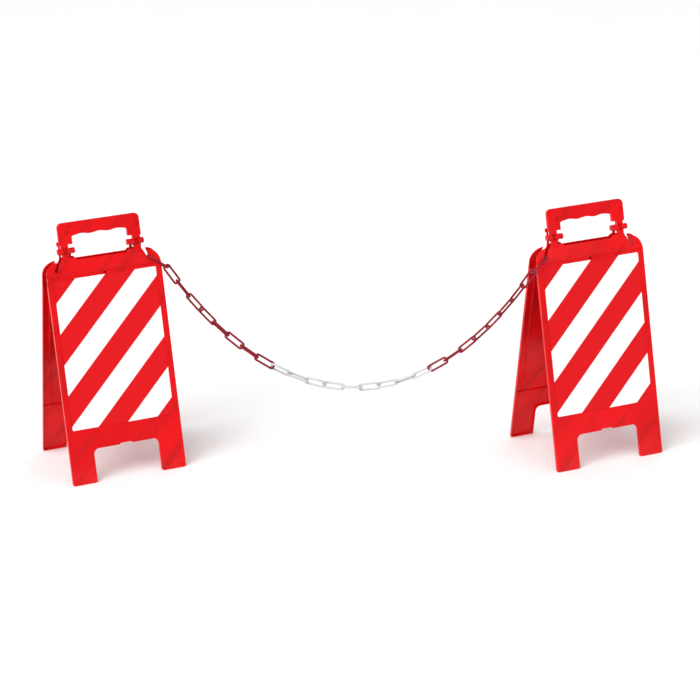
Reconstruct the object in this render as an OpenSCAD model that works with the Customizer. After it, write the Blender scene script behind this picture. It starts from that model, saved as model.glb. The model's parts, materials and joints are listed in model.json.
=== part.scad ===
// Folding traffic barrier: two A-frame stands joined by a hanging plastic chain.
//
// Row frame: +X runs from the left stand to the right stand along the chain, +Z is up,
// and the origin is on the floor under the middle of the whole barrier.
// Both stands are the same moulding, turned by stand_yaw about +Z.
//
// A stand is drawn in its own frame: x across the panel, y from front to rear, z up,
// with the fold axis along x at y = 0. Each half is drawn flat in a board frame:
// x across, u up the slope from the floor, w outwards from the plane of the fold axis.

/* [Stand] */
// Width of a panel
panel_w = 300; // [280:1:320]
// Lean of an open panel from upright, in degrees
lean = 12.5; // [11:0.5:14]
// Height of the fold axis above the floor
hinge_z = 574; // [560:1:600]
// Distance from the fold axis to the outer face of the board
board_out = 9; // [8.8:0.1:10]
// Depth of the board's moulded edge
board_t = 8.4; // [7.6:0.1:8.6]
// Wall of the moulding
wall = 2.4; // [2:0.1:3]
// Turn of each stand from the line of the chain, in degrees
stand_yaw = 30; // [26:1:34]

/* [Legs and rail] */
// Width of a leg at the floor
leg_w = 64; // [56:1:70]
// Slope length from the floor to the lower edge of the rail
rail_u = 86; // [76:1:96]
// Radius of the inner corner between a leg and the rail
leg_fillet = 14; // [8:1:18]
// Width of the shallow bite in the rail
bite_w = 34; // [20:1:50]
// Depth of the bite
bite_h = 3.5; // [2:0.5:6]

/* [Sheeting] */
// Width of the reflective sheet
sheet_w = 268; // [250:1:270]
// Slope length from the floor to the sheet's lower edge
sheet_u = 140; // [130:1:145]
// Height of the sheet
sheet_h = 380; // [360:1:382]
// Thickness of the sheet
sheet_t = 0.6; // [0.4:0.1:0.8]

/* [Crown and ears] */
// Slope length from the floor to the crease under the crown
crease_u = 530; // [528:1:534]
// Height of the crown above the crease
crown_h = 36; // [34:1:38]
// Extra backward tilt of the crown, in degrees
crown_tilt = 8.5; // [8:0.5:9]
// Thickness of the crown plate and the ears
crown_t = 3; // [2.6:0.1:3.2]
// Width of the slot between an ear and the crown
slot_w = 9.2; // [8.6:0.1:10]

/* [Handle] */
// Width over the handle's posts
handle_w = 214; // [206:1:220]
// Slope length from the floor to the top of the grip
handle_u = 661; // [655:1:666]
// Width of the hand opening
grip_w = 144; // [140:1:148]
// Height of the grip bar above the finger waves
grip_h = 33; // [28:1:36]
// Thickness of the handle, centred on the fold axis
handle_t = 10; // [8:0.5:10]

/* [Hinge] */
// Radius of the hinge pin's shaft
pin_r = 3; // [2.5:0.1:3.2]
// Radius of the knuckles, the pin head and the cap
knuckle_r = 7.3; // [6.8:0.1:7.6]
// Radial clearance of the turning lug on the pin
pin_play = 0.08; // [0.05:0.01:0.1]

/* [Chain] */
// Diameter of the link's wire
wire_d = 5.6; // [5:0.1:6]
// Distance from one link contact to the next
pitch = 46.8; // [44:0.1:50]
// Outer width of a link
link_w = 21; // [20:0.5:23]
// Gap left between two linked wires
link_gap = 0.5; // [0.4:0.1:0.8]
// Rise of the slope's tangent from one hanging link to the next
slope_step = 0.1226; // [0.11:0.0002:0.13]
// Slope of the two end links on their ears, in degrees
end_slope = 36; // [30:1:40]

/* [Hidden] */
$fn = 48;
LINKS = 27;
MIDDLE = (LINKS + 1) / 2;
HALVES = ["left", "right"];

moulded_red = "#d4121a";
sheet_white = "#f4f4f2";
chain_red = "#a5172a";
chain_white = "#e6e6e4";

half_w = panel_w / 2;
tiny = 0.01;                            // overlap that joins two pieces of one moulding
axis_u = (hinge_z + board_out * sin(lean)) / cos(lean);
board_in = board_out - board_t;         // inner edge of the mouldings, clear of the fold plane
recess = 1;                             // depth of the recess that holds the sheet
plate_w = board_out - recess;           // front face of the plate behind the sheet
foot_r = 6;
foot_wall = 5;
rib_t = 2;
rib_back = 1;                           // ribs stop this far short of the inner edge
leg_in = half_w - leg_w;                // inner side of a leg at the floor
sheet_play = 0.4;                       // gap round the sheet in its recess
groove_w = 1.2;
groove_u = crease_u - 3;
relief_w = 24;
relief_h = 22;
relief_t = 3.2;
latch_w = 7;
latch_h = 8;
crown_set = 0.8;                        // step down from the board to the crown

// Ears: a quarter ellipse from the panel's edge to the tip beside the slot.
ear_a = 32;
ear_b = crown_h;
ear_in = 0.1;                           // the crown is this much narrower on each side
ear_x = half_w - ear_in - ear_a;
slot_x = 122.5;
slot_y = 14;
slot_lean = 24;                         // lean of the slot towards the handle, in degrees
pad_t = 1.6;
pad_low = 6;
pad_base = 116;
pad_top = 98.5;
shoulder_h = 6.5;
shoulder_in = 66;
shoulder_out = 106.5;

// Handle posts, and the necks that carry the pins.
post_u = 606;
post_in = grip_w / 2;
handle_r = 13;
wave_n = 47;                            // pitch of the finger waves
wave_a = 1.5;                           // half their depth
pocket_w = 8;
pocket_h = 11.5;
pocket_d = 4;
pocket_u = 628.5;
neck_in = 84;
neck_out = 102;
neck_clear = 11;                        // the neck is full depth only this near the axis
window_w = 10.5;
window_h = 17;

// Hinge stack along x: head, inner lug, neck, outer lug, cap.
side_gap = 0.4;
lug_in = 76.3;
lug_out = 107.4;
head_x = 68;
cap_x = lug_out + side_gap;
cap_t = 5;
shaft_end = cap_x + cap_t - 1;
press_play = 0.03;                      // the cap and the neck hold the pin
heel_gap = 0.3;                         // open stop: heel of the outer lug behind the post
heel_t = 4.3;
heel_low = 2;
heel_top = 24;
heel_step = 14;
heel_x = 110.5;

// Chain.
tip = pitch + wire_d + link_gap;        // wire centre to wire centre along a link
half_link = (link_w - wire_d) / 2;      // half width to the wire's centre
bend_r = 5.2;
hook_drop = 0.9;                        // wire centre below the slot's centre
hook_side = 0.7;                        // and this far towards the crown
end_set = 0.7;                          // an end link reaches this far past the first contact
reach = tip - (wire_d + link_gap) / 2 - end_set;   // ear to the first contact
// Turn of each link about its own length: 0 stands upright, 90 lies flat.
rolls = [0, -30, 80, 10, -55, 50, -20, 85, -35, 25,
         95, 5, -50, 75, 0, -60, 55, -65, 0, 68,
         -50, 35, -55, 50, -65, 18, 0];

function link_name(k) = str("link_", k < 10 ? "0" : "", k);
function arc(c, r, a0, a1, n = 8) =
    [for (i = [0 : n]) c + r * [cos(a0 + (a1 - a0) * i / n), sin(a0 + (a1 - a0) * i / n)]];
function flip(pts) = [for (i = [len(pts) - 1 : -1 : 0]) [-pts[i][0], pts[i][1]]];
function sum_to(v, n) = n <= 0 ? 0 : v[n - 1] + sum_to(v, n - 1);

// Where a point of the crown frame (x, up the crown, out of it) lies in the stand frame.
function crown_u(p) = crease_u + p[1] * cos(crown_tilt) + p[2] * sin(crown_tilt);
function crown_w(p) = board_out - crown_set - p[1] * sin(crown_tilt) + p[2] * cos(crown_tilt);
function crown_point(p) = let (u = crown_u(p) - axis_u, w = crown_w(p))
    [p[0], u * sin(lean) - w * cos(lean), hinge_z + u * cos(lean) + w * sin(lean)];

hook = [slot_x - hook_side, slot_y - hook_drop, -crown_t / 2];
first_contact = crown_point(hook + reach * [cos(end_slope), -sin(end_slope), 0]);

// Slope of each hanging link: the tangent falls by equal steps, as it does in any chain
// of equal weights, so the links trace a catenary.
slopes = [for (k = [2 : LINKS - 1]) atan(slope_step * (MIDDLE - k))];
runs = [for (a = slopes) pitch * cos(a)];
drops = [for (a = slopes) pitch * sin(a)];
span = sum_to(runs, len(runs));
stand_at = [span / 2 + first_contact[0] * cos(stand_yaw), first_contact[0] * sin(stand_yaw), 0];
chain_start = [-span / 2 - first_contact[1] * sin(stand_yaw), first_contact[1] * cos(stand_yaw),
               first_contact[2]];

// ---------- frames ----------
module on_stand(side) {
    translate(side == "left" ? -stand_at : stand_at) rotate([0, 0, stand_yaw]) children();
}

// Board frame of the front half (turned = 0) or the rear half (turned = 180).
module on_board(turned = 0) {
    rotate([0, 0, turned]) translate([0, 0, hinge_z]) rotate([90 - lean, 0, 0])
        translate([0, -axis_u, 0]) children();
}

module on_crown() {
    translate([0, crease_u, board_out - crown_set]) rotate([-crown_tilt, 0, 0]) children();
}

// A flat shape of the board frame, from w0 to w1.
module slab(w0, w1) {
    translate([0, 0, w0]) linear_extrude(w1 - w0) children();
}

module both_sides() {
    children();
    mirror([1, 0, 0]) children();
}

// A cylinder along x, centred on the fold axis.
module barrel(x0, x1, r) {
    translate([x0, axis_u, 0]) rotate([0, 90, 0]) cylinder(h = x1 - x0, r = r);
}

// ---------- one half of a stand ----------
// Outline of the board with its two legs, drawn in by the distance e.
module board_outline(e = 0) {
    foot = e > 0 ? foot_wall : 0;
    low = rail_u + e;
    edge = concat(
        arc([leg_in + e + foot_r, foot + foot_r], foot_r, 180, 270, 4),
        arc([half_w - e - foot_r, foot + foot_r], foot_r, 270, 360, 4),
        [[half_w - e, crease_u - e]]);
    inner = concat(
        e > 0 ? [] : [[bite_w / 2 - bite_h, low + bite_h], [bite_w / 2, low]],
        arc([leg_in - leg_fillet, low - leg_fillet] + [e, 0], leg_fillet, 90, 0, 6));
    right = concat(inner, edge);
    polygon(concat(right, flip(right)));
}

module sheet_area(grow) {
    translate([-sheet_w / 2 - grow, sheet_u - grow]) square([sheet_w + 2 * grow, sheet_h + 2 * grow]);
}

// Ribs behind the plate: a frame round the sheet.
module board_ribs() {
    inner_x = sheet_w / 2 - rib_t;
    for (u = [sheet_u - rib_t, sheet_u + sheet_h])
        translate([-half_w + tiny + wall / 2, u]) square([panel_w - wall - 2 * tiny, rib_t]);
    for (x = [-inner_x, inner_x - rib_t])
        translate([x, sheet_u - rib_t + tiny]) square([rib_t, sheet_h + rib_t]);
}

// Room behind the two top corners for the chain's end link.
module reliefs() {
    both_sides() slab(board_in - 1, board_in + relief_t)
        translate([half_w - relief_w, crease_u - relief_h]) square([relief_w + 1, relief_h + 1]);
}

module board() {
    pocket_w1 = plate_w - wall;
    difference() {
        slab(board_in, board_out) board_outline();
        slab(board_in - 1, pocket_w1) board_outline(wall);
        slab(plate_w, board_out + 1) sheet_area(sheet_play);
        slab(board_out - groove_w, board_out + 1)
            translate([-half_w + 6, groove_u]) square([panel_w - 12, groove_w]);
        slab(board_in - 1, board_out + 1)
            translate([-latch_w / 2, crease_u - latch_h]) square([latch_w, latch_h - wall]);
        reliefs();
    }
    difference() {
        slab(board_in + rib_back, pocket_w1 + tiny) board_ribs();
        slab(board_in, board_out)
            translate([-latch_w / 2, crease_u - latch_h]) square([latch_w, latch_h]);
        reliefs();
    }
}

module crown_outline() {
    ear = [for (a = [0 : 10 : 90]) [ear_x + ear_a * cos(a), ear_b * sin(a)]];
    shoulder = [[shoulder_out, crown_h], [shoulder_out - 2.5, crown_h + shoulder_h],
                [shoulder_in + 4, crown_h + shoulder_h], [shoulder_in, crown_h]];
    right = concat([[half_w - ear_in, -wall / 2]], ear, shoulder);
    difference() {
        polygon(concat(right, flip(right)));
        both_sides() translate([slot_x, slot_y]) {
            circle(r = slot_w / 2);
            rotate(slot_lean) translate([-slot_w / 2, 0]) square([slot_w, crown_h]);
        }
    }
}

module pad_outline() {
    side = [[pad_base, pad_low], [pad_top, crown_h], [shoulder_out - 2.5, crown_h + shoulder_h],
            [shoulder_in + 4, crown_h + shoulder_h], [shoulder_in, crown_h]];
    polygon(concat(side, flip(side)));
}

// The back of the crown is cut off level with the moulding's inner edge.
module crown() {
    difference() {
        on_crown() {
            slab(-crown_t, 0) crown_outline();
            slab(-tiny, pad_t) pad_outline();
        }
        translate([-panel_w, crease_u, board_in - panel_w]) cube([2 * panel_w, panel_w, panel_w]);
    }
}

// What both halves share, cut off level with the floor.
module half_moulding() {
    board();
    crown();
}

module above_floor() {
    difference() {
        children();
        translate([-panel_w, -panel_w, -40]) cube([2 * panel_w, 2 * panel_w, 40]);
    }
}

// ---------- handle and necks of the front half ----------
function wave_u(x) = handle_u - grip_h + wave_a * cos(360 * x / wave_n);

module handle_outline() {
    outer = concat(
        [[handle_w / 2, post_u]],
        arc([handle_w / 2 - handle_r, handle_u - handle_r], handle_r, 0, 90, 8));
    opening = concat(
        [[post_in, post_u - 1], [post_in, wave_u(post_in) - 4], [post_in - 2, wave_u(post_in) - 1]],
        [for (x = [post_in - 5 : -3 : 2]) [x, wave_u(x)]]);
    difference() {
        polygon(concat(outer, flip(outer)));
        polygon(concat(opening, [[0, wave_u(0)]], flip(opening)));
    }
}

module neck() {
    difference() {
        union() {
            translate([neck_in, axis_u - neck_clear, -handle_t / 2])
                cube([neck_out - neck_in, post_u - axis_u + neck_clear + 1, handle_t]);
            translate([neck_in, crown_u([0, crown_h, 0]) - 3, board_in])
                cube([neck_out - neck_in, axis_u - crown_u([0, crown_h, 0]) + 3, handle_t / 2 - board_in]);
            barrel(neck_in, neck_out, knuckle_r);
        }
        barrel(neck_in - 1, neck_out + 1, pin_r + press_play);
        translate([(neck_in + neck_out - window_w) / 2, axis_u - window_h / 2, 0])
            cube([window_w, window_h, knuckle_r + 1]);
    }
}

module handle() {
    difference() {
        slab(-handle_t / 2, handle_t / 2) handle_outline();
        for (x = [-85, 97])
            translate([x, pocket_u, handle_t / 2 - pocket_d]) cube([pocket_w, pocket_h, pocket_d + 1]);
    }
    both_sides() neck();
}

module front_panel() {
    color(moulded_red) above_floor() on_board() {
        half_moulding();
        handle();
    }
}

// ---------- lugs of the rear half ----------
module lug(x0, x1) {
    barrel(x0, x1, knuckle_r);
    translate([x0, crown_u([0, crown_h, 0]) - 3, board_in])
        cube([x1 - x0, axis_u - crown_u([0, crown_h, 0]) + 3, handle_t / 2 - board_in]);
}

// The outer lug's heel stands behind the handle post and stops the frame opening further.
module heel() {
    x0 = neck_out + side_gap;
    w0 = -handle_t / 2 - heel_gap - heel_t;
    translate([x0, axis_u - heel_low, w0]) cube([lug_out - x0, heel_top + heel_low, heel_t]);
    translate([x0, axis_u + heel_step, w0]) cube([heel_x - x0, heel_top - heel_step, heel_t]);
}

module rear_panel() {
    color(moulded_red) above_floor() difference() {
        union() {
            on_board(180) {
                half_moulding();
                both_sides() {
                    lug(lug_in, neck_in - side_gap);
                    lug(neck_out + side_gap, lug_out);
                }
            }
            on_board() both_sides() heel();
        }
        on_board() both_sides() barrel(lug_in - 1, lug_out + 1, pin_r + pin_play);
    }
}

module sheet(turned) {
    color(sheet_white) on_board(turned) slab(plate_w, plate_w + sheet_t) sheet_area(0);
}

// ---------- hinge pins and caps, one pair on each side (way = 1 or -1) ----------
module hinge_pin(way) {
    color(moulded_red) on_board() mirror([way < 0 ? 1 : 0, 0, 0]) {
        barrel(head_x, lug_in - side_gap, knuckle_r);
        barrel(head_x, shaft_end, pin_r);
    }
}

module pin_cap(way) {
    color(moulded_red) on_board() mirror([way < 0 ? 1 : 0, 0, 0]) difference() {
        barrel(cap_x, cap_x + cap_t, knuckle_r);
        barrel(cap_x - 1, shaft_end + press_play, pin_r + press_play);
    }
}

// ---------- chain ----------
// A link lies in its own XZ plane, its length along X.
module link_body() {
    x = tip / 2 - bend_r;
    z = half_link - bend_r;
    for (sx = [-1, 1]) {
        translate([sx * tip / 2, 0, -z]) cylinder(h = 2 * z, d = wire_d);
        translate([-x, 0, sx * half_link]) rotate([0, 90, 0]) cylinder(h = 2 * x, d = wire_d);
        for (sz = [-1, 1])
            translate([sx * x, 0, sz * z]) mirror([sx < 0 ? 1 : 0, 0, 0])
                mirror([0, 0, sz < 0 ? 1 : 0]) rotate([90, 0, 0])
                    rotate_extrude(angle = 90) translate([bend_r, 0]) circle(d = wire_d);
    }
}

// The end links lie along the crown, round an ear.
module end_link(side) {
    on_stand(side) on_board() on_crown() mirror([side == "right" ? 1 : 0, 0, 0])
        translate(hook) rotate([0, 0, -end_slope]) translate([tip / 2, 0, 0]) link_body();
}

module hanging_link(k) {
    x = chain_start[0] + sum_to(runs, k - 2) + runs[k - 2] / 2;
    z = chain_start[2] - sum_to(drops, k - 2) - drops[k - 2] / 2;
    translate([x, chain_start[1], z]) rotate([0, slopes[k - 2], 0]) rotate([rolls[k - 1], 0, 0])
        link_body();
}

module chain_link(k) {
    color(k > 9 && k < 19 ? chain_white : chain_red)
        if (k == 1) end_link("left");
        else if (k == LINKS) end_link("right");
        else hanging_link(k);
}

for (s = HALVES) {
    on_stand(s) front_panel();
    on_stand(s) rear_panel();
    on_stand(s) sheet(0);
    on_stand(s) sheet(180);
    for (i = [1, 2]) {
        on_stand(s) hinge_pin(2 * i - 3);
        on_stand(s) pin_cap(2 * i - 3);
    }
}
for (k = [1 : LINKS])
    chain_link(k);
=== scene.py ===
"""Looks of the folding traffic barrier: two red stands with striped sheeting and the chain between them.

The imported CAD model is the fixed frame. Every moulding is drawn again with rounded edges, the sheeting
as a thin film with round corners, and each chain link as a smooth wire with its mould seam.
Lengths are metres. A stand's own axes are across, up the slope of its board, and out of the board.
"""
import json
import math
from itertools import combinations

import bmesh
import bpy
import numpy as np
from mathutils import Matrix
from mathutils.bvhtree import BVHTree

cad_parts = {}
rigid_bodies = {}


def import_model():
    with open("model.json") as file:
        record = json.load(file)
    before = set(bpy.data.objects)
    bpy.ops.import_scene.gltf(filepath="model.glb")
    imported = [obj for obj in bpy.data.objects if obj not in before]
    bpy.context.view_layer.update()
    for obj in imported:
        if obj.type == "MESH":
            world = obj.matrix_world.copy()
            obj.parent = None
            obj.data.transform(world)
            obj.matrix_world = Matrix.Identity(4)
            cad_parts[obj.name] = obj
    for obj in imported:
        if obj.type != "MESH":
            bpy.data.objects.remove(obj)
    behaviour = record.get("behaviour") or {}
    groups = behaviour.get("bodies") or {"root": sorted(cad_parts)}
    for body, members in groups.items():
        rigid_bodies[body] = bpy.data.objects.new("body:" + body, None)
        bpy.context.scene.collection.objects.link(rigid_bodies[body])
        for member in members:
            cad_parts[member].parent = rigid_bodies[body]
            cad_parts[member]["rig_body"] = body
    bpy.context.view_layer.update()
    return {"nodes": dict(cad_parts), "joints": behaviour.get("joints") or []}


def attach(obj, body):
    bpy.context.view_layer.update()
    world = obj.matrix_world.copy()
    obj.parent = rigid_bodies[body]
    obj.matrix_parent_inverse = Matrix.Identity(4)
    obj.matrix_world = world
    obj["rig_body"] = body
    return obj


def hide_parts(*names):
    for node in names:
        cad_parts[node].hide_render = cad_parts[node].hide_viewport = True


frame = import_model()

MM = 0.001
SIDES = ("left", "right")
HALVES = ("front", "rear")
LINKS = sorted(name for name in frame["nodes"] if name.startswith("link_"))
RED_LINKS = 9                       # red links at each end of the chain; those between are white

# Rounding of the mouldings.
EDGE_ROUND = 0.8 * MM               # every other edge of a moulding
FACE_ROUND = 1.7 * MM               # the outline of a board's face
GRIP_ROUND = 2.6 * MM               # the handle
GRIP_ABOVE = 92 * MM                # edges that reach this far above the sheet are the handle's
IN_LINE = 0.5                       # edges run on into each other below this sine of their turn
LEAST_ROUND = 0.12 * MM             # an edge with no room for this much stays sharp
SHARE_OF_ROOM = 0.42                # share of the room beside an edge that its rounding may take
PROBE = 0.25 * MM                   # depth at which that room is measured
NEAR = 0.02 * MM                    # how far from the edge the measuring starts
PROBE_STEP = 3.0 * MM               # and how often along the edge it is repeated
SHARP = math.radians(28)            # two faces that meet at more than this have an edge
FLAT = math.radians(0.6)            # two faces that meet at less than this are one face
SAME_POINT = 0.002 * MM             # corners of two triangles nearer than this are one
MERGE = 0.12 * MM                   # and, once the faces are joined, all nearer than this

# Sheeting.
BAND = 55.4 * MM                    # width of a stripe, square across it
FIRST_EDGE = 268 * MM               # where the first stripe's edge lies, on height minus width
CELL = 4.5 * MM                     # pitch of the film's honeycomb
CORNER = 3.5 * MM                   # radius of the film's corners
CORNER_STEPS = 7

# Link.
WIRE_SIDES = 20
SEAM = 0.09 * MM                    # height of the mould seam
SEAM_WIDTH = 0.12                   # and its half width, as a share of the wire's radius
BEND = 5.2 * MM                     # radius of a link's corner, to the wire's middle
BEND_STEPS = 9


# ---------- places taken from the frame ----------
def triangles(node):
    """Corners of a CAD node's triangles, as an array of shape (count, 3, 3)."""
    mesh = frame["nodes"][node].data
    mesh.calc_loop_triangles()
    points = np.empty(len(mesh.vertices) * 3)
    mesh.vertices.foreach_get("co", points)
    corners = np.empty(len(mesh.loop_triangles) * 3, int)
    mesh.loop_triangles.foreach_get("vertices", corners)
    return points.reshape(-1, 3)[corners].reshape(-1, 3, 3)


def principal_frame(node):
    """Centre of a node's surface, its three main directions from longest to shortest, and its half sizes.

    The directions are those in which the surface spreads most and least: the eigenvectors of its
    second moment, which for a triangle of area A, corners p and middle m is A / 12 times the sum of
    p p^T over its corners and 9 m m^T.
    """
    corners = triangles(node)
    area = np.linalg.norm(np.cross(corners[:, 1] - corners[:, 0], corners[:, 2] - corners[:, 0]), axis=1)
    centre = (corners.mean(axis=1) * area[:, None]).sum(axis=0) / area.sum()
    offsets = corners - centre
    middles = offsets.mean(axis=1)
    spread = (np.einsum("t,tci,tcj->ij", area, offsets, offsets)
              + 9 * np.einsum("t,ti,tj->ij", area, middles, middles))
    directions = np.linalg.eigh(spread)[1].T[::-1]
    along = (corners.reshape(-1, 3) - centre) @ directions.T
    centre = centre + ((along.max(axis=0) + along.min(axis=0)) / 2) @ directions
    return centre, directions, (along.max(axis=0) - along.min(axis=0)) / 2


class Board:
    """Axes of one half of a stand: across, up its slope and outwards, from its sheet's place."""

    def __init__(self, side, half):
        self.name = f"{side}_{half}"
        self.middle, (up, _, out), self.half_size = principal_frame(self.name + "_sheet")
        hinge = np.array(next(j["pos_m"] for j in frame["joints"] if j["name"] == side + "_fold"))
        self.up = up * np.sign(up[2])
        self.out = out * np.sign(out @ (self.middle - hinge))
        self.across = np.cross(self.up, self.out)

    def to_board(self, points):
        """Turns points of the row frame into (across, up, out), counted from the sheet's middle."""
        return (points - self.middle) @ np.array([self.across, self.up, self.out]).T

    def to_row(self, points):
        """Turns points of the board's axes into the row frame."""
        return points @ np.array([self.across, self.up, self.out]) + self.middle


BOARDS = {f"{side}_{half}": Board(side, half) for side in SIDES for half in HALVES}


# ---------- node trees ----------
class Flow:
    """One output on its way through a material; + - * / on numbers add Math nodes."""

    def __init__(self, tree, socket=None):
        self.tree = tree
        self.socket = socket

    def node(self, kind, inputs=None, output=0, stops=None, **settings):
        """Adds a node of a kind: its settings and a ramp's stops first, then its inputs."""
        made = self.tree.nodes.new("ShaderNode" + kind)
        for name, value in settings.items():
            setattr(made, name, value)
        for place, (position, colour) in enumerate(stops or []):
            ramp = made.color_ramp.elements
            stop = ramp[place] if place < len(ramp) else ramp.new(position)
            stop.position, stop.color = position, colour
        for name, value in (inputs or {}).items():
            if isinstance(value, Flow):
                self.tree.links.new(value.socket, made.inputs[name])
            else:
                made.inputs[name].default_value = value
        return Flow(self.tree, made.outputs[output])

    def maths(self, operation, *values):
        return self.node("Math", dict(enumerate(values)), operation=operation)

    def __add__(self, other):
        return self.maths("ADD", self, other)

    __radd__ = __add__

    def __sub__(self, other):
        return self.maths("SUBTRACT", self, other)

    def __rsub__(self, other):
        return self.maths("SUBTRACT", other, self)

    def __mul__(self, other):
        return self.maths("MULTIPLY", self, other)

    __rmul__ = __mul__

    def __truediv__(self, other):
        return self.maths("DIVIDE", self, other)

    def __abs__(self):
        return self.maths("ABSOLUTE", self)

    def __mod__(self, other):
        return self.maths("FLOORED_MODULO", self, other)

    def step(self, low, high):
        """0 below low, 1 above high, and a smooth rise between."""
        limits = {"Value": self, "From Min": low, "From Max": high}
        return self.node("MapRange", limits, interpolation_type="SMOOTHSTEP")

    def tint(self, other, share):
        """Mixes this colour with another one by a share."""
        return self.node("Mix", {0: share, 6: self, 7: other}, output=2, data_type="RGBA")

    def noise(self, place, scale, detail=3.0, roughness=0.55):
        return self.node("TexNoise", {"Vector": place, "Scale": scale, "Detail": detail,
                                      "Roughness": roughness})

    def along(self, place, direction):
        """How far a place lies along a direction."""
        return self.node("VectorMath", {0: place, 1: tuple(direction / np.linalg.norm(direction))},
                         output=1, operation="DOT_PRODUCT")

    def stretched(self, place, scale):
        """A place with each of its axes scaled by its own factor."""
        return self.node("VectorMath", {0: place, 1: scale}, operation="MULTIPLY")


def material(name, **constants):
    """A new material, its first Flow and its shader, whose constant sockets are set here."""
    made = bpy.data.materials.new(name)
    made.use_nodes = True
    shader = made.node_tree.nodes["Principled BSDF"]
    for socket, value in constants.items():
        shader.inputs[socket.replace("_", " ")].default_value = value
    return made, Flow(made.node_tree), shader


def finish(start, shader, colour, roughness, height, distance):
    """Joins the colour, the roughness and a height in units of distance to the shader."""
    bump = start.node("Bump", {"Height": height, "Distance": distance, "Strength": 1.0})
    for name, flow in (("Base Color", colour), ("Roughness", roughness), ("Normal", bump)):
        start.tree.links.new(flow.socket, shader.inputs[name])


def grey(value):
    return (value, value, value, 1.0)


def moulded_red(name, colour, deep, gloss):
    """Glossy injection moulding: an orange-peel skin, painted shade in diagonal streaks, hair scratches and
    dust at the feet.

    The painted shade streaks run up the slope at 45 degrees: noise on a place whose share along that line is
    small.
    """
    made, start, shader = material(name, Coat_Weight=0.12, Coat_Roughness=0.10, IOR=1.45,
                                   Specular_IOR_Level=0.26)
    place = start.node("TexCoord", output=3)
    height = start.node("SeparateXYZ", {0: place}, output=2)
    clouds = start.noise(place, 5.0, 4.0)
    board = BOARDS["left_front"]
    # Place for the painted shade streaks, stretched so that they run 45 degrees up the slope.
    slant = start.node("CombineXYZ", {0: start.along(place, board.up - board.across) * 30.0,
                                      1: start.along(place, board.up + board.across) * 3.0})
    shade_streak_noise = start.noise(slant, 1.0, 4.0, 0.6)
    peel = start.noise(place, 260.0, 2.0)
    grain = start.noise(place, 1500.0, 1.0)
    hair = start.noise(start.stretched(place, (900.0, 900.0, 22.0)), 1.0, 1.0).step(0.74, 0.80)
    rubs = start.noise(place, 34.0, 6.0, 0.7).step(0.62, 0.74)
    dust = (1 - height.step(0.0, 0.055)) * start.noise(place, 70.0, 5.0).step(0.35, 0.7)
    base = start.node("Mix", {0: clouds.step(0.32, 0.68), 6: deep, 7: colour}, output=2, data_type="RGBA")
    # Painted shade: darker diagonal streaks are painted into the colour in place of the lamps' reflection
    # streaks; the same mask also raises the roughness.
    painted_shade_streak = shade_streak_noise.step(0.46, 0.66)
    base = base.tint((colour[0] * 0.66, colour[1] * 0.3, colour[2] * 0.4, 1.0), painted_shade_streak * 0.7)
    base = base.tint((0.86, 0.2, 0.18, 1.0), hair * 0.05 + rubs * 0.04)
    base = base.tint((0.34, 0.06, 0.05, 1.0), dust * 0.22)
    roughness = gloss + clouds * 0.06 + painted_shade_streak * 0.08 + rubs * 0.12 + hair * 0.14 + dust * 0.12
    finish(start, shader, base, roughness, peel * 0.7 + grain * 0.25 - hair * 0.25, 0.05 * MM)
    return made


def hexagon(start, across, up):
    """Distance from the middle of a honeycomb's cell, 0.5 at its wall.

    The cells' middles are two rectangular lattices of 1 by the root of 3, half a step apart. The
    distance from a middle is the larger of |x| and |x| / 2 + |y| * root 3 / 2, and the nearest
    middle is the one with the smaller distance.
    """
    tall = math.sqrt(3)
    found = []
    for shift in (0.0, 0.5):
        x = abs((across + shift) % 1.0 - 0.5)
        y = abs((up + shift * tall) % tall - tall / 2)
        found.append(start.maths("MAXIMUM", x, x * 0.5 + y * (tall / 2)))
    return start.maths("MINIMUM", *found)


def striped_film(name):
    """White film with red diagonal bands, its honeycomb of cells and a clear gloss over them.

    Lines of equal height minus width rise at 45 degrees, and a band starts each twice the step.
    """
    made, start, shader = material(name, Coat_Weight=0.12, Coat_Roughness=0.06, IOR=1.45,
                                   Specular_IOR_Level=0.22)
    place = start.node("UVMap", uv_map="film")
    across = start.node("SeparateXYZ", {0: place}, output=0)
    up = start.node("SeparateXYZ", {0: place}, output=1)
    step = BAND * math.sqrt(2)
    ragged = (start.noise(place, 420.0, 2.0) - 0.5) * (0.25 * MM)
    phase = (up - across - (FIRST_EDGE - 4 * step) + step / 2 + ragged) % (2 * step)
    inside = step / 2 - abs(phase - step)
    red = inside.step(-0.12 * MM, 0.12 * MM)
    ink_edge = inside.step(-0.5 * MM, 0.3 * MM)
    wall = hexagon(start, across / CELL, up / CELL).step(0.445, 0.49)
    clouds = start.noise(place, 9.0, 4.0)
    specks = start.noise(place, 1300.0, 2.0)
    scuffs = start.noise(start.stretched(place, (30.0, 420.0, 1.0)), 1.0, 3.0).step(0.69, 0.76)
    white = start.node("Mix", {0: clouds, 6: (0.90, 0.90, 0.895, 1.0), 7: (0.96, 0.96, 0.955, 1.0)},
                       output=2, data_type="RGBA")
    print_red = start.node("Mix", {0: clouds, 6: (0.68, 0.003, 0.006, 1.0), 7: (0.76, 0.004, 0.008, 1.0)},
                           output=2, data_type="RGBA")
    base = white.tint(print_red, red)
    base = base.tint((0.55, 0.55, 0.56, 1.0), wall * (1 - red) * 0.16)
    base = base.tint((0.50, 0.004, 0.008, 1.0), wall * red * 0.30)
    base = base.tint((0.62, 0.60, 0.58, 1.0), scuffs * 0.10)
    roughness = 0.30 + specks * 0.10 + wall * 0.10 + scuffs * 0.15
    finish(start, shader, base, roughness, wall * 0.8 + specks * 0.12 + ink_edge * 0.5, 0.04 * MM)
    return made


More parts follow.
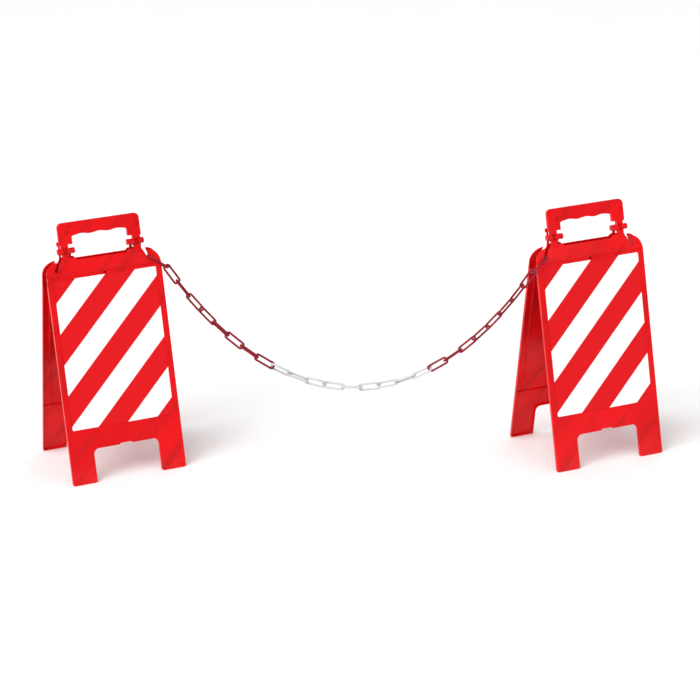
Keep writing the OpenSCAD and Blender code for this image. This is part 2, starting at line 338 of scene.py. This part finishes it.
def chain_plastic(name, colour, deep, gloss):
    """Satin chain moulding: uneven pigment, a fine grain and rubbed places where links meet."""
    made, start, shader = material(name, Coat_Weight=0.06, Coat_Roughness=0.2, IOR=1.45,
                                   Specular_IOR_Level=0.25)
    place = start.node("TexCoord", output=3)
    clouds = start.noise(place, 24.0, 4.0)
    swirl = start.noise(start.stretched(place, (140.0, 140.0, 60.0)), 1.0, 5.0, 0.65)
    grain = start.noise(place, 1900.0, 2.0)
    ends = start.node("UVMap", uv_map="wire")
    worn = (1 - start.node("SeparateXYZ", {0: ends}, output=0).step(0.0, 0.008)) * clouds.step(0.3, 0.6)
    pale = tuple(min(1.0, c * 0.6 + 0.25) for c in colour[:3]) + (1.0,)
    base = start.node("Mix", {0: clouds.step(0.3, 0.7), 6: deep, 7: colour}, output=2, data_type="RGBA")
    base = base.tint(deep, swirl.step(0.5, 0.8) * 0.5)
    base = base.tint(pale, worn * 0.05)
    roughness = gloss + swirl * 0.10 + worn * 0.12
    finish(start, shader, base, roughness, grain * 0.5 + swirl * 0.4, 0.05 * MM)
    return made


def pale_floor(name):
    """Seamless pale studio floor with a very faint mottle."""
    made, start, shader = material(name, IOR=1.3)
    place = start.node("TexCoord", output=3)
    mottle = start.noise(place, 3.0, 5.0)
    base = start.node("Mix", {0: mottle, 6: grey(0.86), 7: grey(0.88)}, output=2, data_type="RGBA")
    finish(start, shader, base, 0.75 + mottle * 0.1, mottle, 0.02 * MM)
    return made


PANEL_RED = moulded_red("moulded_red", (0.80, 0.003, 0.006, 1.0), (0.68, 0.001, 0.003, 1.0), 0.22)
PIN_RED = moulded_red("pin_red", (0.68, 0.004, 0.008, 1.0), (0.56, 0.002, 0.005, 1.0), 0.30)
FILM = striped_film("striped_film")
CHAIN_RED = chain_plastic("chain_red", (0.31, 0.006, 0.022, 1.0), (0.22, 0.003, 0.014, 1.0), 0.32)
CHAIN_WHITE = chain_plastic("chain_white", (0.62, 0.62, 0.62, 1.0), (0.52, 0.52, 0.525, 1.0), 0.36)


# ---------- pieces ----------
def place_piece(name, mesh, node, finish_material):
    """Makes the object of a finished mesh: it stands for a CAD node and rides on that node's body."""
    piece = bpy.data.objects.new(name, mesh)
    bpy.context.scene.collection.objects.link(piece)
    mesh.materials.clear()
    mesh.materials.append(finish_material)
    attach(piece, frame["nodes"][node]["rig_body"])
    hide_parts(node)
    return piece


def surface(name, points, faces, smooth=True):
    """A mesh from arrays of points and faces."""
    mesh = bpy.data.meshes.new(name)
    mesh.from_pydata(points.tolist(), [], [list(face) for face in faces])
    mesh.polygons.foreach_set("use_smooth", np.full(len(mesh.polygons), smooth))
    mesh.update()
    return mesh


def rounding(board, start, end):
    """Radius for an edge in the board's axes: more on the face's outline, and most on the handle."""
    half_up, half_across, half_thick = board.half_size
    on_face = min(start[2], end[2]) > half_thick + 0.3 * MM
    outside = (min(abs(start[0]), abs(end[0])) > half_across + 10 * MM
               or max(start[1], end[1]) < -half_up - 10 * MM)
    if board.name.endswith("front") and max(start[1], end[1]) > half_up + GRIP_ABOVE:
        return GRIP_ROUND
    return FACE_ROUND if on_face and outside else EDGE_ROUND


def room_beside(edge, tree):
    """The room beside an edge, so that two roundings never meet.

    In each of the edge's two faces it is the smallest of three lengths, measured every few
    millimetres: how far the material reaches just under the face, how far the free space reaches
    just over it, and how far the edges at its ends run away from it.
    """
    start, run = edge.verts[0].co, edge.verts[1].co - edge.verts[0].co
    along = run.normalized()
    shares = np.linspace(0.03, 0.97, 3 + int(run.length / PROBE_STEP))
    room = math.inf
    for corner in edge.link_loops:
        face = corner.face
        inwards = face.normal.cross(corner.link_loop_next.vert.co - corner.vert.co).normalized()
        for share in shares:
            for depth in (-PROBE, PROBE):
                origin = start + run * share + face.normal * depth + inwards * NEAR
                hit = tree.ray_cast(origin, inwards, GRIP_ROUND * 8)
                if hit[0] is not None:
                    room = min(room, hit[3])
        for side in (corner.link_loop_prev, corner.link_loop_next):
            away = side.edge.verts[0].co - side.edge.verts[1].co
            turn = along.cross(away.normalized()).length
            if turn > IN_LINE:
                room = min(room, away.length * turn)
    return room


def direction(edge):
    return (edge.verts[1].co - edge.verts[0].co).normalized()


def even_out(radii, corners):
    """Gives edges that run on into each other the smaller of their radii, until all of them agree."""
    settled = False
    while not settled:
        settled = True
        for corner in corners:
            rounded = [edge for edge in corner.link_edges if edge in radii]
            for one, other in combinations(rounded, 2):
                if radii[one] != radii[other] and direction(one).cross(direction(other)).length < IN_LINE:
                    radii[one] = radii[other] = min(radii[one], radii[other])
                    settled = False


def soften(mesh, board=None):
    """Merges a copied CAD mesh, joins its flat faces and marks how much each of its edges is rounded."""
    work = bmesh.new()
    work.from_mesh(mesh)
    bmesh.ops.remove_doubles(work, verts=work.verts, dist=SAME_POINT)
    bmesh.ops.dissolve_limit(work, angle_limit=FLAT, verts=work.verts, edges=work.edges)
    bmesh.ops.remove_doubles(work, verts=work.verts, dist=MERGE)
    work.normal_update()
    tree = BVHTree.FromBMesh(work)
    share = work.edges.layers.float.new("bevel_weight_edge")
    radii = {}
    for edge in work.edges:
        edge.smooth = len(edge.link_faces) == 2 and edge.calc_face_angle() < SHARP
        if edge.smooth or len(edge.link_faces) != 2:
            continue
        radius = EDGE_ROUND
        if board:
            radius = rounding(board, *board.to_board(np.array([vertex.co for vertex in edge.verts])))
        radius = min(radius, SHARE_OF_ROOM * room_beside(edge, tree))
        if radius > LEAST_ROUND:
            radii[edge] = radius
    even_out(radii, work.verts)
    for edge, radius in radii.items():
        edge[share] = radius / GRIP_ROUND
        edge.smooth = True
    for face in work.faces:
        face.smooth = True
    work.to_mesh(mesh)
    work.free()
    mesh.update()


def moulding(node, finish_material, board=None):
    """A CAD moulding with rounded edges, its large faces kept flat to the eye."""
    mesh = frame["nodes"][node].data.copy()
    soften(mesh, board)
    piece = place_piece(node + "_moulding", mesh, node, finish_material)
    bevel = piece.modifiers.new("rounded_edges", "BEVEL")
    bevel.width = GRIP_ROUND
    bevel.segments = 3
    bevel.limit_method = "WEIGHT"
    bevel.use_clamp_overlap = False
    bevel.loop_slide = False
    normals = piece.modifiers.new("flat_faces", "WEIGHTED_NORMAL")
    normals.keep_sharp = True
    return piece


def rounded_rectangle(half_across, half_up, radius, steps):
    """Corners of a rectangle with round corners: four quarter circles, anticlockwise."""
    turn = np.linspace(0, math.pi / 2, steps)
    rings = []
    for quarter, (sx, sy) in enumerate(((1, 1), (-1, 1), (-1, -1), (1, -1))):
        angle = turn + quarter * math.pi / 2
        middle = np.array([sx * (half_across - radius), sy * (half_up - radius)])
        rings.append(middle + radius * np.column_stack([np.cos(angle), np.sin(angle)]))
    return np.concatenate(rings)


def loop_faces(rings, count):
    """Quads between neighbouring closed rings of count points each."""
    here = np.arange(count)
    following = (here + 1) % count
    return [quad for ring in range(rings - 1)
            for quad in np.column_stack([here, following, following + count, here + count]) + ring * count]


def film(board):
    """The sheet: a round-cornered film whose edge rolls over in a quarter circle of its own thickness."""
    node = board.name + "_sheet"
    half_up, half_across, half_thick = board.half_size
    roll = np.linspace(0, math.pi / 2, 5)
    insets = np.concatenate([[0.0], half_thick * (1 - np.cos(roll))])
    heights = np.concatenate([[-half_thick], half_thick * np.sin(roll)])
    rings = []
    for inset, height in zip(insets, heights):
        outline = rounded_rectangle(half_across - inset, half_up - inset, CORNER - inset, CORNER_STEPS)
        rings.append(np.column_stack([outline, np.full(len(outline), height)]))
    count = len(rings[0])
    faces = loop_faces(len(rings), count)
    faces.append(np.arange(count) + (len(rings) - 1) * count)
    faces.append(np.arange(count)[::-1])
    flat_points = np.concatenate(rings)
    mesh = surface(node + "_film", board.to_row(flat_points), faces)
    corners = np.empty(len(mesh.loops), int)
    mesh.loops.foreach_get("vertex_index", corners)
    layer = mesh.uv_layers.new(name="film")
    layer.data.foreach_set("uv", flat_points[corners, :2].ravel())
    piece = place_piece(node + "_film", mesh, node, FILM)
    normals = piece.modifiers.new("flat_faces", "WEIGHTED_NORMAL")
    normals.keep_sharp = True
    return piece


def link_line(half_length, half_width, bend, steps):
    """Centre line of a link and its outward directions: a rectangle with quarter-circle corners.

    Straight stretches have points at their ends only; a link lies in its own plane.
    """
    turn = np.linspace(0, math.pi / 2, steps)
    points, outward = [], []
    for quarter, (sx, sy) in enumerate(((1, 1), (-1, 1), (-1, -1), (1, -1))):
        angle = turn + quarter * math.pi / 2
        direction = np.column_stack([np.cos(angle), np.sin(angle)])
        middle = np.array([sx * (half_length - bend), sy * (half_width - bend)])
        points.append(middle + bend * direction)
        outward.append(direction)
    return np.concatenate(points), np.concatenate(outward)


def link_surface(half_length, half_width, wire, bend):
    """A link's surface in its own axes: at line point p with outward direction d and angle a, the point is
    p + r(a) * (d * cos a + n * sin a), with n square to the link and r the wire's radius with a seam of
    height SEAM where a is 0 or half a turn, in the plane where the mould's halves meet."""
    line, outward = link_line(half_length, half_width, bend, BEND_STEPS)
    angle = np.linspace(0, 2 * math.pi, WIRE_SIDES, endpoint=False)
    radius = wire - SEAM + SEAM * np.exp(-(np.sin(angle) / SEAM_WIDTH) ** 2)
    side, rise = radius * np.cos(angle), radius * np.sin(angle)
    points = np.empty((len(line), WIRE_SIDES, 3))
    points[..., :2] = line[:, None, :] + side[None, :, None] * outward[:, None, :]
    points[..., 2] = rise[None, :]
    return points


def link(node):
    """A chain link round the CAD link's own middle and directions."""
    middle, directions, half_size = principal_frame(node)
    wire = half_size[2]
    grid = link_surface(half_size[0] - wire, half_size[1] - wire, wire, BEND)
    stations, around = grid.shape[:2]
    axes = np.array([directions[0], directions[1], np.cross(directions[0], directions[1])])
    points = grid.reshape(-1, 3) @ axes + middle
    index = np.arange(stations * around).reshape(stations, around)
    ahead, beside = np.roll(index, -1, axis=0), np.roll(index, -1, axis=1)
    both = np.roll(ahead, -1, axis=1)
    faces = np.stack([index, ahead, both, beside], axis=-1).reshape(-1, 4)
    mesh = surface(node + "_wire", points, faces)
    from_end = half_size[0] - wire - np.abs(grid.reshape(-1, 3)[:, 0])
    corners = np.empty(len(mesh.loops), int)
    mesh.loops.foreach_get("vertex_index", corners)
    layer = mesh.uv_layers.new(name="wire")
    place = np.column_stack([np.maximum(from_end, 0), np.zeros_like(from_end)])
    layer.data.foreach_set("uv", place[corners].ravel())
    number = int(node[-2:])
    red = min(number, len(LINKS) + 1 - number) <= RED_LINKS
    return place_piece(node + "_wire", mesh, node,
                       CHAIN_RED if red else CHAIN_WHITE)


for board in BOARDS.values():
    moulding(board.name + "_panel", PANEL_RED, board)
    film(board)
for side in SIDES:
    for number in (1, 2):
        moulding(f"{side}_hinge_pin_{number}", PIN_RED)
        moulding(f"{side}_pin_cap_{number}", PIN_RED)
for node in LINKS:
    link(node)


# ---------- studio ----------
FLOOR_RADIUS = 40.0                 # metres, far beyond the view
FLOOR_SIDES = 96


def floor():
    """A round pale floor, far larger than the view."""
    angle = np.linspace(0, 2 * math.pi, FLOOR_SIDES, endpoint=False)
    rim = FLOOR_RADIUS * np.column_stack([np.cos(angle), np.sin(angle), np.zeros(FLOOR_SIDES)])
    mesh = surface("studio_floor", rim, [np.arange(FLOOR_SIDES)], smooth=False)
    made = bpy.data.objects.new("studio_floor", mesh)
    bpy.context.scene.collection.objects.link(made)
    mesh.materials.append(pale_floor("pale_floor"))


def lamp(name, kind, place, aim, **settings):
    """A lamp of a kind at a place, turned towards a point."""
    light = bpy.data.lights.new(name, kind)
    for setting, value in settings.items():
        setattr(light, setting, value)
    made = bpy.data.objects.new(name, light)
    bpy.context.scene.collection.objects.link(made)
    backwards = np.array(place) - np.array(aim)
    right = np.cross((0.0, 0.0, 1.0), backwards)
    right = right / np.linalg.norm(right)
    backwards = backwards / np.linalg.norm(backwards)
    made.matrix_world = turned(right, np.cross(backwards, right), backwards, place)


def softbox(name, place, size, power):
    """A rectangular lamp that shines on the middle of the barrier."""
    lamp(name, "AREA", place, (0.0, 0.0, 0.3), shape="RECTANGLE", size=size[0], size_y=size[1], energy=power)


def daylight(name, place, strength, width):
    """An even light from one side that reaches the whole floor; its width in degrees softens the shadows."""
    lamp(name, "SUN", place, (0.0, 0.0, 0.0), energy=strength, angle=math.radians(width))


def turned(right, up, backwards, place):
    """The matrix of an object whose own axes point right, up and backwards."""
    matrix = np.eye(4)
    matrix[:3, :3] = np.column_stack([right, up, backwards])
    matrix[:3, 3] = place
    return Matrix(matrix.tolist())


def camera():
    """The camera stands in front of the barrier, a little to its right, and looks down on it."""
    aim = np.array([-0.003, 0.087, 0.246])
    distance = 6.7
    azimuth, elevation, roll = (math.radians(turn) for turn in (-7.52, 20.11, -1.62))
    ahead = np.array([math.sin(azimuth) * math.cos(elevation),
                      math.cos(azimuth) * math.cos(elevation), -math.sin(elevation)])
    right = np.array([math.cos(azimuth), -math.sin(azimuth), 0.0])
    up = np.cross(right, ahead)
    right, up = (right * math.cos(roll) + up * math.sin(roll), up * math.cos(roll) - right * math.sin(roll))
    view = bpy.data.cameras.new("camera")
    view.lens = 133.7
    view.sensor_width = 36.0
    view.clip_end = 200.0
    made = bpy.data.objects.new("camera", view)
    bpy.context.scene.collection.objects.link(made)
    made.matrix_world = turned(right, up, -ahead, aim - distance * ahead)
    bpy.context.scene.camera = made


AIR = 0.62                          # brightness of the surround
MIRRORED_AIR = 0.10                 # the same as glossy faces see it


def studio_air():
    """A pale surround that fills the shadows, dimmer where it is mirrored."""
    world = bpy.data.worlds.new("studio_air")
    world.use_nodes = True
    background = world.node_tree.nodes["Background"]
    background.inputs["Color"].default_value = (1.0, 1.0, 1.0, 1.0)
    path = Flow(world.node_tree).node("LightPath", output=3)
    world.node_tree.links.new((AIR - path * (AIR - MIRRORED_AIR)).socket, background.inputs["Strength"])
    bpy.context.scene.world = world


floor()
studio_air()
daylight("overhead", (-2.0, -2.6, 4.4), 2.1, 60)
softbox("key", (-2.6, -3.4, 3.0), (1.6, 1.6), 40)
softbox("fill", (3.6, -2.6, 2.4), (1.6, 2.2), 8)
softbox("back", (0.5, 3.2, 2.8), (3.0, 1.0), 16)
camera()
bpy.context.scene.view_settings.view_transform = "Standard"
